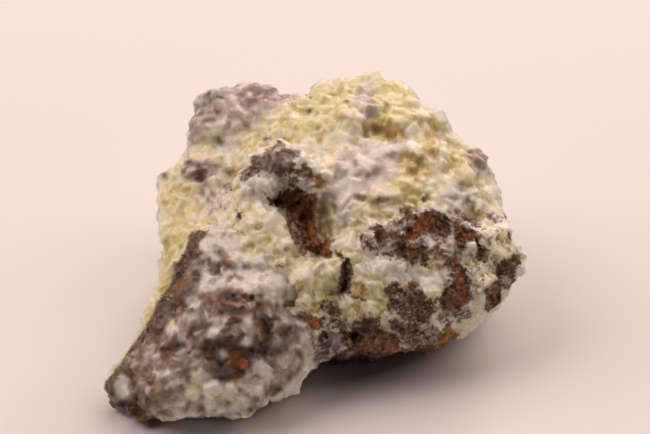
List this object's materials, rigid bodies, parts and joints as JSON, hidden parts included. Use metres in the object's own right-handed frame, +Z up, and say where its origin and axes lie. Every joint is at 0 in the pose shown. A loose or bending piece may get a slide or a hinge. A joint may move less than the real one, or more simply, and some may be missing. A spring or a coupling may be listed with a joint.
{
  "type": "fluorite crystal",
  "caption": "Rough hand specimen of coarse granular fluorite, lobed and broken-faced, lying on its flat underside.",
  "frame": {"origin": "middle of the footprint's bounding box, on the surface that the stone lies on", "axes": "+X to the right along the stone's length, +Y to the back, +Z up; the long nose points to -X and -Y"},
  "size_m": [0.0748, 0.063, 0.0376],
  "materials": {
    "fluorite": "pale yellow and milky glassy grains, with grey-brown and rust-stained patches"
  },
  "bodies": {
    "root": {"fluorite_stone": "fluorite"}
  },
  "joints": []
}
